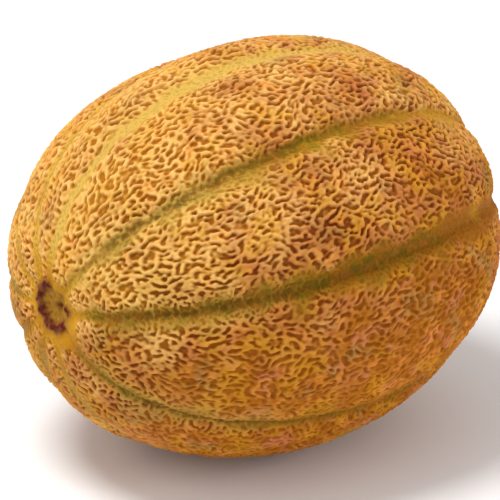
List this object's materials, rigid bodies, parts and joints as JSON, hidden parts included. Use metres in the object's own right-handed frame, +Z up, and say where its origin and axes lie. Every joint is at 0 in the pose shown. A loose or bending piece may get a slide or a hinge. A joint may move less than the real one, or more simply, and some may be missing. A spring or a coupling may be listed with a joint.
{
  "type": "cantaloupe melon",
  "caption": "Whole ripe netted melon lying on its side: a blunt oval ribbed fruit with a corky net, a slipped stem scar at one end and a small blossom scar at the other.",
  "frame": {"origin": "under the middle of the fruit, on the surface it lies on", "axes": "X along the fruit with the stem end at -X and the blossom end at +X, +Z up, -Y the side first seen"},
  "size_m": [0.18, 0.15, 0.1456],
  "materials": {
    "rind": "dry corky net over smooth skin"
  },
  "bodies": {
    "root": {"melon": "rind"}
  },
  "joints": []
}
